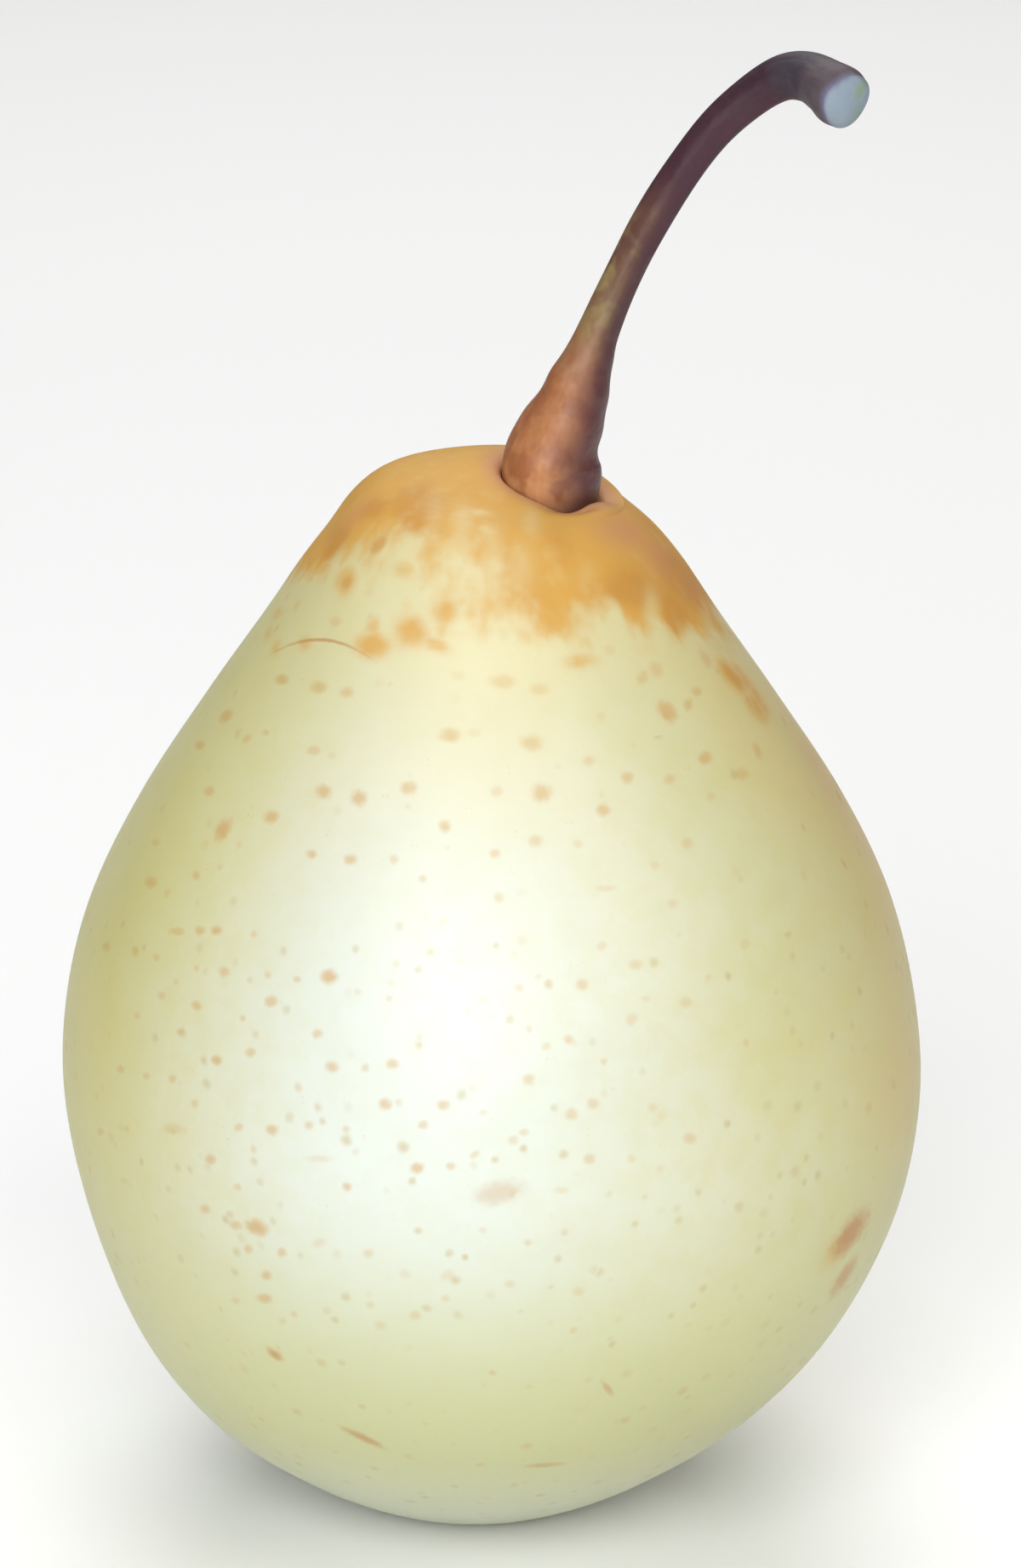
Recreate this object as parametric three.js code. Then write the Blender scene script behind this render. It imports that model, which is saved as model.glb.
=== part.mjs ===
// A pale Chinese white pear with its long curved stem, standing on its calyx end.
// Millimetres, +Z up, -Y towards the viewer.
// The origin is on the surface the pear stands on, under the middle of its belly.
import * as THREE from 'three';

// Driving dimensions of the fruit.
const BELLY_RADIUS = 35.4;
const CROWN_HEIGHT = 88.1;
const EYE_DEPTH = 5.6;
const REST_RING_INNER = 7.8;
const REST_RING_OUTER = 10.2;

// The stem leaves the crown off centre, on a patch of skin that leans towards the viewer and to the right.
const STEM_FOOT = new THREE.Vector3(5.0, 0, 88);
const FOOT_LEAN = new THREE.Euler(THREE.MathUtils.degToRad(9), THREE.MathUtils.degToRad(15), 0);
const LEANING_FROM_RADIUS = 12.5;
const LEANING_FULLY_FROM_RADIUS = 4.8;
const BELLY_HEIGHT = 35.5;

// The lower end of the fruit is fuller on the left.
const BASE_SHIFT = -1.5;
const BASE_SHIFT_HEIGHT = 30;

// The crown's left shoulder stands a little higher than the rest of its rim.
const SHOULDER_RISE = 1.5;
const SHOULDER_INNER = 6;
const SHOULDER_MIDDLE = 10;
const SHOULDER_OUTER = 14;

// Broad swellings round the fruit, as shares of the radius.
const OVAL = 0.008;
const FIVE_LOBES = 0.005;
const OVAL_TURN = 0.4;
const LOBES_TURN = 1.6;

// The stem: a root held in the fruit, a fleshy foot, a thin shaft, and a knob cut across its end.
const ROOT_LENGTH = 6.4;
const ROOT_RADIUS = 2.9;
const GAP = 0.3;
const SHAFT_RADIUS = 1.52;
const KNOB_RADIUS = 2.42;
const SHAFT_RIDGES = 5;
const RIDGE_SHARE = 0.035;
const RIDGES_START = 0.35;
const RIDGES_FULL = 0.5;

// Fineness of the faceted skins.
const FRUIT_SIDES = 60;
const FRUIT_STEPS_PER_STATION = 2;
const STEM_SIDES = 18;
const STEM_STEPS = 60;

// Half outline of the fruit as [radius, height], from the top of the eye to the floor of the stem's socket.
// From the crown's rim inwards it is turned about the stem foot's own axis.
const FRUIT_OUTLINE = [
  [1.6, EYE_DEPTH],
  [3.6, EYE_DEPTH - 0.9],
  [5.4, 2.4],
  [6.7, 0.6],
  [REST_RING_INNER, 0],
  [REST_RING_OUTER, 0],
  [13.4, 1.4],
  [18.6, 4.6],
  [24.6, 9.5],
  [30.0, 16.9],
  [33.7, 26.0],
  [BELLY_RADIUS, BELLY_HEIGHT],
  [35.1, 44.0],
  [33.1, 52.5],
  [29.1, 61.0],
  [23.8, 69.3],
  [18.7, 76.6],
  [15.5, 81.4],
  [13.0, 84.65],
  [10.4, 86.9],
  [7.6, CROWN_HEIGHT],
  [5.4, CROWN_HEIGHT],
  [4.4, 87.8],
  [4.2, 87.0],
  [3.7, 85.9],
  [ROOT_RADIUS + GAP, 84.8],
  [ROOT_RADIUS + GAP, STEM_FOOT.z - ROOT_LENGTH - GAP],
];

// Places along the stem's centre line from the mouth of its socket up as [x, y, z], and its radius at each.
const STEM_ROUTE = [
  { at: [4.65, 0.2, 86.6], radius: 3.7 },
  { at: [4.85, 0.1, 88.4], radius: 4.05 },
  { at: [4.9, 0.05, 90.0], radius: 4.0 },
  { at: [5.35, 0, 91.8], radius: 3.65 },
  { at: [6.0, 0.1, 93.6], radius: 3.25 },
  { at: [6.85, 0.2, 95.9], radius: 2.75 },
  { at: [7.85, 0.5, 98.4], radius: 2.05 },
  { at: [8.7, 0.9, 100.7], radius: 1.66 },
  { at: [10.3, 1.5, 104.3], radius: SHAFT_RADIUS },
  { at: [12.6, 2.0, 108.8], radius: SHAFT_RADIUS },
  { at: [15.2, 2.4, 113.0], radius: SHAFT_RADIUS },
  { at: [18.0, 2.6, 116.65], radius: 1.58 },
  { at: [20.9, 2.5, 119.3], radius: 1.66 },
  { at: [23.3, 1.7, 120.9], radius: 1.84 },
  { at: [25.2, 0.2, 121.3], radius: 2.02 },
  { at: [26.4, -1.6, 120.95], radius: 2.2 },
  { at: [27.25, -3.0, 120.5], radius: KNOB_RADIUS },
  { at: [27.9, -4.0, 120.15], radius: 2.2 },
];
// The root below that route, as heights above the foot along its axis.
const ROOT_PLACES = [
  { rise: -ROOT_LENGTH, radius: ROOT_RADIUS },
  { rise: -3.4, radius: ROOT_RADIUS },
];

/** A smooth step from 0 at low to 1 at high. */
const easedShare = (value, low, high) => THREE.MathUtils.smoothstep(value, low, high);

/** The point at a radius and an angle round the stem foot's own axis, at a height measured as in the outline. */
function pointAtFoot(radius, height, angle) {
  return new THREE.Vector3(radius * Math.cos(angle), radius * Math.sin(angle), height - STEM_FOOT.z)
    .applyEuler(FOOT_LEAN)
    .add(STEM_FOOT);
}

/** The point of the fruit's skin at an outline radius and height, and an angle round the fruit. */
function pointOnFruit(radius, height, angle) {
  const fullness = easedShare(radius, REST_RING_OUTER, BELLY_RADIUS);
  const swelling =
    1 +
    fullness * (OVAL * Math.cos(2 * angle + OVAL_TURN) + FIVE_LOBES * Math.cos(5 * angle + LOBES_TURN));
  const shift = BASE_SHIFT * (1 - easedShare(height, 0, BASE_SHIFT_HEIGHT));
  const onTop = height < BELLY_HEIGHT ? 0 : 1;
  const shoulder =
    easedShare(radius, SHOULDER_INNER, SHOULDER_MIDDLE) *
    (1 - easedShare(radius, SHOULDER_MIDDLE, SHOULDER_OUTER)) *
    Math.sin(angle / 2) ** 4;
  const upright = new THREE.Vector3(
    radius * swelling * Math.cos(angle) + shift,
    radius * swelling * Math.sin(angle),
    height + onTop * SHOULDER_RISE * shoulder,
  );
  const leaning = onTop * (1 - easedShare(radius, LEANING_FULLY_FROM_RADIUS, LEANING_FROM_RADIUS));
  return upright.lerp(pointAtFoot(radius, height, angle), leaning);
}

/** A closed skin over rings of points, each ring anticlockwise from above, with a single point at either end. */
function skinOver(rings, firstEnd, lastEnd) {
  const sides = rings[0].length;
  const points = [firstEnd, ...rings.flat(), lastEnd];
  const corner = (ring, side) => 1 + ring * sides + (side % sides);
  const faces = [];
  for (let side = 0; side < sides; side += 1) {
    faces.push(0, corner(0, side + 1), corner(0, side));
    faces.push(points.length - 1, corner(rings.length - 1, side), corner(rings.length - 1, side + 1));
    for (let ring = 0; ring < rings.length - 1; ring += 1) {
      faces.push(corner(ring, side), corner(ring, side + 1), corner(ring + 1, side + 1));
      faces.push(corner(ring, side), corner(ring + 1, side + 1), corner(ring + 1, side));
    }
  }
  const geometry = new THREE.BufferGeometry().setFromPoints(points);
  geometry.setIndex(faces);
  geometry.computeVertexNormals();
  return geometry;
}

/** Evenly spaced angles round a ring. */
const anglesRound = (sides) => Array.from({ length: sides }, (_, side) => (2 * Math.PI * side) / sides);

/** The fruit: one solid with an eye below and a socket for the stem's root above. */
function makeFruit() {
  const outline = new THREE.SplineCurve(FRUIT_OUTLINE.map(([radius, height]) => new THREE.Vector2(radius, height)));
  const stations = outline.getPoints((FRUIT_OUTLINE.length - 1) * FRUIT_STEPS_PER_STATION);
  // The curve dips a little between the rest ring's two edges. It is held at height 0 there, as a flat ring.
  const rings = stations.map(({ x: radius, y: height }) =>
    anglesRound(FRUIT_SIDES).map((angle) => pointOnFruit(radius, Math.max(0, height), angle)),
  );
  const eye = new THREE.Vector3(BASE_SHIFT, 0, EYE_DEPTH);
  const socketFloor = pointAtFoot(0, FRUIT_OUTLINE.at(-1)[1], 0);
  const skin = new THREE.MeshStandardMaterial({ color: '#dcdda0', roughness: 0.42, metalness: 0 });
  const fruit = new THREE.Mesh(skinOver(rings, eye, socketFloor), skin);
  fruit.name = 'fruit';
  return fruit;
}

/** The stem's places from the bottom of its root to the middle of its cut end, each with its radius. */
function stemPlaces() {
  const inFruit = ROOT_PLACES.map(({ rise, radius }) => ({
    centre: pointAtFoot(0, STEM_FOOT.z + rise, 0),
    radius,
  }));
  const above = STEM_ROUTE.map(({ at, radius }) => ({ centre: new THREE.Vector3(...at), radius }));
  return [...inFruit, ...above];
}

/** The stem: one solid from its root in the fruit to its cut end. */
function makeStem() {
  const places = stemPlaces();
  const route = new THREE.CatmullRomCurve3(places.map(({ centre }) => centre));
  const girth = new THREE.SplineCurve(places.map(({ radius }, place) => new THREE.Vector2(place, radius)));
  const frames = route.computeFrenetFrames(STEM_STEPS);
  const rings = Array.from({ length: STEM_STEPS + 1 }, (_, step) => {
    const along = route.getUtoTmapping(step / STEM_STEPS);
    const centre = route.getPoint(along);
    const radius = girth.getPoint(along).y;
    const ridged = easedShare(along, RIDGES_START, RIDGES_FULL);
    return anglesRound(STEM_SIDES).map((angle) => {
      const reach = radius * (1 + ridged * RIDGE_SHARE * Math.cos(SHAFT_RIDGES * angle));
      return centre
        .clone()
        .addScaledVector(frames.normals[step], reach * Math.cos(angle))
        .addScaledVector(frames.binormals[step], reach * Math.sin(angle));
    });
  });
  const bark = new THREE.MeshStandardMaterial({ color: '#7a5340', roughness: 0.6, metalness: 0 });
  const stem = new THREE.Mesh(skinOver(rings, route.getPoint(0), route.getPoint(1)), bark);
  stem.name = 'stem';
  return stem;
}

const pear = new THREE.Group();
pear.add(makeFruit(), makeStem());

export default pear;
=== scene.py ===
"""A pale Chinese white pear with its long curved stem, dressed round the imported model.

The frame is the model's: metres, +Z up from the calyx eye to the stem, -Y towards the viewer. Sizes below
are in millimetres, as on the real fruit, and become metres where a mesh is made.
"""

import logging
import math
from dataclasses import dataclass
from enum import Enum
from typing import Sequence

import bpy
import numpy as np
from mathutils import Matrix, Vector
from mathutils.bvhtree import BVHTree


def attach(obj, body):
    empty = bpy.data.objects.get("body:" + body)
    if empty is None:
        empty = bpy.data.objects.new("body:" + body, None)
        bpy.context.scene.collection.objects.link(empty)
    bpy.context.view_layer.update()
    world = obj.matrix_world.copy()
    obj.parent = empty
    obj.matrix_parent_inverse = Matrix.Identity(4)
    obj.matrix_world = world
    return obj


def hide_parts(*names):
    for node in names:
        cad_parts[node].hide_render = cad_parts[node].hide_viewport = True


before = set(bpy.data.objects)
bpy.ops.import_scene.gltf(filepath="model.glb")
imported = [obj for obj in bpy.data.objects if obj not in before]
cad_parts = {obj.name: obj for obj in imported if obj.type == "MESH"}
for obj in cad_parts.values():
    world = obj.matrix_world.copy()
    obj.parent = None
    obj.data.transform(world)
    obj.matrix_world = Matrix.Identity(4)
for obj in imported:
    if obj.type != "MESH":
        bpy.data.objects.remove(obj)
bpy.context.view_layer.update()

MM = 0.001
PHOTO_SIZE = (1200, 1843)
LOG = logging.getLogger("pear")

Colour = tuple[float, float, float]
Socket = bpy.types.NodeSocket
# What a node's input takes: another node's socket, a number, or a vector or colour.
Feed = Socket | float | Sequence[float]


def eased(value: np.ndarray | float, low: float, high: float) -> np.ndarray:
    """A smooth step: 0 up to low, 1 from high, and 3t^2 - 2t^3 between them.

    Args:
        value: What is stepped.
        low: Where the step starts.
        high: Where it ends.

    Returns:
        The step's height, from 0 to 1.
    """
    share = np.clip((value - low) / (high - low), 0.0, 1.0)
    return share * share * (3.0 - 2.0 * share)


def hump(distance: np.ndarray, width: float) -> np.ndarray:
    """A rounded hump: 1 in the middle, falling as exp(-(distance / width)^2)."""
    return np.exp(-((distance / width) ** 2))


def hump_round(angle: np.ndarray, middle: float, width: float) -> np.ndarray:
    """The same hump over an angle in radians, measured the shorter way round from its middle."""
    return hump(np.angle(np.exp(1j * (angle - middle))), width)


def curve_through(points: np.ndarray, places: np.ndarray) -> np.ndarray:
    """A Catmull-Rom curve through the rows of points.

    Between two rows it is the cubic that leaves and arrives with half the step between the rows' neighbours.

    Args:
        points: One row for each point.
        places: Where to read the curve, counted in rows.

    Returns:
        One row for each place.
    """
    last = len(points) - 1
    row = np.clip(np.floor(places).astype(int), 0, last - 1)
    share = (places - row)[:, None]
    start, end = points[row], points[row + 1]
    leave = (end - points[np.maximum(row - 1, 0)]) / 2
    arrive = (points[np.minimum(row + 2, last)] - start) / 2
    cubic = 2 * start - 2 * end + leave + arrive
    square = 3 * end - 3 * start - 2 * leave - arrive
    return ((cubic * share + square) * share + leave) * share + start


def even_places(points: np.ndarray, count: int, probes: int = 4000) -> np.ndarray:
    """Places on the curve through points that lie equal lengths apart.

    Args:
        points: The rows that the curve passes through.
        count: How many places to give.
        probes: How finely the curve is measured.

    Returns:
        The places, counted in rows.
    """
    fine = np.linspace(0, len(points) - 1, probes)
    steps = np.linalg.norm(np.diff(curve_through(points, fine), axis=0), axis=1)
    lengths = np.concatenate([[0.0], np.cumsum(steps)])
    return np.interp(np.linspace(0, lengths[-1], count), lengths, fine)


def unit(rows: np.ndarray) -> np.ndarray:
    """The same vectors with length 1."""
    return rows / np.linalg.norm(rows, axis=-1, keepdims=True)


def closed_mesh(name: str, rings: np.ndarray, first_end: np.ndarray,
                last_end: np.ndarray) -> bpy.types.Mesh:
    """A closed skin over rings of points, with a fan of triangles to one point at either end.

    Args:
        name: The mesh's name.
        rings: Millimetres, as (ring, side, xyz), each ring anticlockwise when seen from the last end.
        first_end: The point that closes the first ring.
        last_end: The point that closes the last ring.

    Returns:
        The mesh, in metres, smooth shaded.
    """
    ring_count, sides, _ = rings.shape
    points = np.concatenate([rings.reshape(-1, 3), first_end[None], last_end[None]]) * MM
    corner = np.arange(ring_count * sides).reshape(ring_count, sides)
    beside = np.roll(corner, -1, axis=1)
    quads = np.stack([corner[:-1], beside[:-1], beside[1:], corner[1:]], axis=-1).reshape(-1, 4)
    pole = np.full(sides, ring_count * sides)
    first_fan = np.stack([pole, beside[0], corner[0]], axis=-1)
    last_fan = np.stack([pole + 1, corner[-1], beside[-1]], axis=-1)
    mesh = bpy.data.meshes.new(name)
    mesh.from_pydata(points.tolist(), [], quads.tolist() + first_fan.tolist() + last_fan.tolist())
    mesh.shade_smooth()
    mesh.update()
    return mesh


def store(mesh: bpy.types.Mesh, name: str, values: np.ndarray) -> None:
    """Keeps a number or a vector for each vertex under a name that a material can read.

    Args:
        mesh: The mesh that holds the vertices.
        name: The attribute's name.
        values: One number, or one row of three, for each vertex.
    """
    kind, key = ("FLOAT", "value") if values.ndim == 1 else ("FLOAT_VECTOR", "vector")
    mesh.attributes.new(name, kind, "POINT").data.foreach_set(key, values.astype(np.float32).ravel())


def show(name: str, mesh: bpy.types.Mesh) -> bpy.types.Object:
    """Puts a mesh into the scene as an object at the origin."""
    piece = bpy.data.objects.new(name, mesh)
    bpy.context.scene.collection.objects.link(piece)
    return piece


@dataclass(frozen=True)
class PhotoCamera:
    """The camera that took the photograph, in millimetres and degrees.

    It looks along +Y and down, at a point on the fruit's axis plane.
    """

    elevation: float = 18.0
    distance: float = 450.0
    target: tuple[float, float, float] = (1.54, 0.0, 62.3)
    pixels_per_mm: float = 14.207
    sensor: float = 36.0

    def axes(self) -> tuple[Vector, Vector, Vector]:
        """The directions to the right, up and forward in the photograph."""
        tilt = math.radians(self.elevation)
        forward = Vector((0.0, math.cos(tilt), -math.sin(tilt)))
        right = Vector((1.0, 0.0, 0.0))
        return right, right.cross(forward), forward

    def eye(self) -> Vector:
        """Where the camera is."""
        return Vector(self.target) - self.axes()[2] * self.distance

    def ray(self, pixel: tuple[float, float]) -> Vector:
        """The direction from the camera through a pixel of the 1200 x 1843 photograph."""
        right, up, forward = self.axes()
        focal = self.pixels_per_mm * self.distance
        across = pixel[0] - PHOTO_SIZE[0] / 2
        down = pixel[1] - PHOTO_SIZE[1] / 2
        return (forward * focal + right * across - up * down).normalized()

    def seen(self, pixel: tuple[float, float], skin: BVHTree) -> tuple[Vector, Vector]:
        """The point of a skin that shows at a pixel of the photograph.

        Args:
            pixel: The pixel.
            skin: The skin, in metres.

        Returns:
            The point in millimetres, and the skin's outward direction there.
        """
        point, normal, _, _ = skin.ray_cast(self.eye() * MM, self.ray(pixel))
        if point is None:
            raise ValueError(f"no skin shows at the pixel {pixel}")
        return point / MM, normal

    def build(self) -> bpy.types.Object:
        """Makes the scene's camera."""
        data = bpy.data.cameras.new("photo_camera")
        data.sensor_fit = "VERTICAL"
        data.sensor_height = self.sensor
        data.lens = self.sensor * self.pixels_per_mm * self.distance / PHOTO_SIZE[1]
        data.clip_start = 0.01
        camera = bpy.data.objects.new("photo_camera", data)
        right, up, forward = self.axes()
        turn = Matrix((right, up, -forward)).transposed()
        camera.matrix_world = Matrix.Translation(self.eye() * MM) @ turn.to_4x4()
        bpy.context.scene.collection.objects.link(camera)
        bpy.context.scene.camera = camera
        return camera


class NodeBoard:
    """A material's nodes, joined by short methods that each give back a socket."""

    def __init__(self, name: str) -> None:
        """Starts a material with one Principled shader."""
        self.material = bpy.data.materials.new(name)
        self.material.use_nodes = True
        self.tree = self.material.node_tree
        self.shader = self.tree.nodes["Principled BSDF"]

    def add(self, kind: str, inputs: dict | None = None, **settings) -> bpy.types.Node:
        """Adds a node.

        Args:
            kind: The node's type, without the word ShaderNode.
            inputs: Sockets by name or number, each with a value or a socket to join to it.
            **settings: The node's own settings.

        Returns:
            The node.
        """
        node = self.tree.nodes.new("ShaderNode" + kind)
        for key, value in settings.items():
            setattr(node, key, value)
        for key, value in (inputs or {}).items():
            self.feed(node.inputs[key], value)
        return node

    def feed(self, socket: Socket, value: Feed) -> None:
        """Joins a socket to another, or sets it to a number, a vector or a colour."""
        if isinstance(value, Socket):
            self.tree.links.new(value, socket)
        elif socket.type == "RGBA":
            socket.default_value = (*value, 1.0)
        else:
            socket.default_value = value

    def place(self) -> Socket:
        """The point on the surface in object coordinates, in millimetres."""
        return self.scaled(self.add("TexCoord").outputs["Object"], 1.0 / MM)

    def stored(self, name: str, output: str = "Fac") -> Socket:
        """A value that was stored on the mesh."""
        return self.add("Attribute", attribute_name=name).outputs[output]

    def parts(self, vector: Socket) -> list[Socket]:
        """The x, y and z of a vector."""
        return list(self.add("SeparateXYZ", {0: vector}).outputs)

    def scaled(self, vector: Feed, factor: float) -> Socket:
        """A vector times a number."""
        return self.add("VectorMath", {0: vector, "Scale": factor}, operation="SCALE").outputs[0]

    def vector(self, operation: str, *values: Feed) -> Socket:
        """A vector sum, product or the like."""
        node = self.add("VectorMath", dict(enumerate(values)), operation=operation)
        return node.outputs["Value" if operation in ("LENGTH", "DISTANCE") else "Vector"]

    def math(self, operation: str, *values: Feed) -> Socket:
        """A sum, product or the like of numbers."""
        return self.add("Math", dict(enumerate(values)), operation=operation).outputs[0]

    def total(self, *values: Feed) -> Socket:
        """The sum of several numbers."""
        result = values[0]
        for value in values[1:]:
            result = self.math("ADD", result, value)
        return result

    def times(self, *values: Feed) -> Socket:
        """The product of several numbers."""
        result = values[0]
        for value in values[1:]:
            result = self.math("MULTIPLY", result, value)
        return result

    def step(self, value: Feed, low: float, high: float, bottom: float = 0.0, top: float = 1.0) -> Socket:
        """A smooth step of a value, from bottom at low to top at high."""
        inputs = {"Value": value, "From Min": low, "From Max": high, "To Min": bottom, "To Max": top}
        return self.add("MapRange", inputs, interpolation_type="SMOOTHSTEP").outputs["Result"]

    def noise(self, where: Feed, size: float, detail: float = 2.0, rough: float = 0.5,
              output: str = "Fac") -> Socket:
        """Soft noise whose patches are about size across, from 0 to 1 round a mean of a half."""
        inputs = {"Vector": where, "Scale": 1.0 / size, "Detail": detail, "Roughness": rough}
        return self.add("TexNoise", inputs).outputs[output]

    def squeezed(self, where: Feed, share: float) -> Socket:
        """A place squeezed along z to a share of its height, which draws noise out into upright streaks."""
        return self.add("Mapping", {"Vector": where, "Scale": (1.0, 1.0, share)}).outputs[0]

    def swirl(self, where: Feed, size: float, reach: float) -> Socket:
        """A shift by noise of a size, by up to about half of reach."""
        around_zero = self.vector("SUBTRACT", self.noise(where, size, output="Color"), (0.5, 0.5, 0.5))
        return self.scaled(around_zero, reach)

    def mixed(self, share: Feed, first: Feed, second: Feed) -> Socket:
        """A colour that goes from first to second as share goes from 0 to 1."""
        node = self.add("Mix", data_type="RGBA")
        for key, value in (("Factor_Float", share), ("A_Color", first), ("B_Color", second)):
            self.feed(next(socket for socket in node.inputs if socket.identifier == key), value)
        return next(socket for socket in node.outputs if socket.identifier == "Result_Color")

    def coated(self, ground: Feed, coats: Sequence[tuple[Feed, Feed]]) -> Socket:
        """A colour under coats, from the lowest up, each given as how far it covers and its own colour."""
        for cover, colour in coats:
            ground = self.mixed(cover, ground, colour)
        return ground

    def bumped(self, height: Feed, depth: float, below: Feed | None = None) -> Socket:
        """A normal tilted by a height from 0 to 1 that stands for depth millimetres."""
        inputs = {"Height": height, "Distance": depth * MM, "Strength": 1.0}
        if below is not None:
            inputs["Normal"] = below
        return self.add("Bump", inputs).outputs["Normal"]

    def shade(self, values: dict[str, Feed]) -> bpy.types.Material:
        """Feeds the shader's own sockets, by name.

        Args:
            values: A number, a vector, a colour or another node's socket for each.

        Returns:
            The material.
        """
        for name, value in values.items():
            self.feed(self.shader.inputs[name], value)
        return self.material


class MarkKind(Enum):
    """What a mark on the skin is, with the name of the attribute that carries it."""

    PORE = "pore"
    SCAR = "scar"
    RUSSET = "russet"
    DEEP = "deep_russet"
    THIN = "thin_russet"
    PINK = "pink"


# Kinds whose marks keep a crisp outline of their own. The others melt into one soft field.
CRISP = (MarkKind.PORE, MarkKind.SCAR)

# How deep a mark reaches into the skin, which keeps it off the far side of a fold, and how far apart the
# crisp marks of one layer stay, both in millimetres.
MARK_DEPTH = 4.0
MARK_GAP = 4.0


@dataclass(frozen=True)
class Mark:
    """One mark that stands out on the skin in the photograph.

    Attributes:
        pixel: Where its middle shows in the 1200 x 1843 photograph.
        length: Its size along its own direction as it shows there, in millimetres.
        width: Its size across that direction.
        turn: How far its direction is turned anticlockwise from level, in degrees.
        strength: How strongly it shows, from 0 to 1.
        bend: How far its ends bow down, as a share of half its width.
    """

    pixel: tuple[float, float]
    length: float
    width: float
    turn: float = 0.0
    strength: float = 0.8
    bend: float = 0.0


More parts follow.
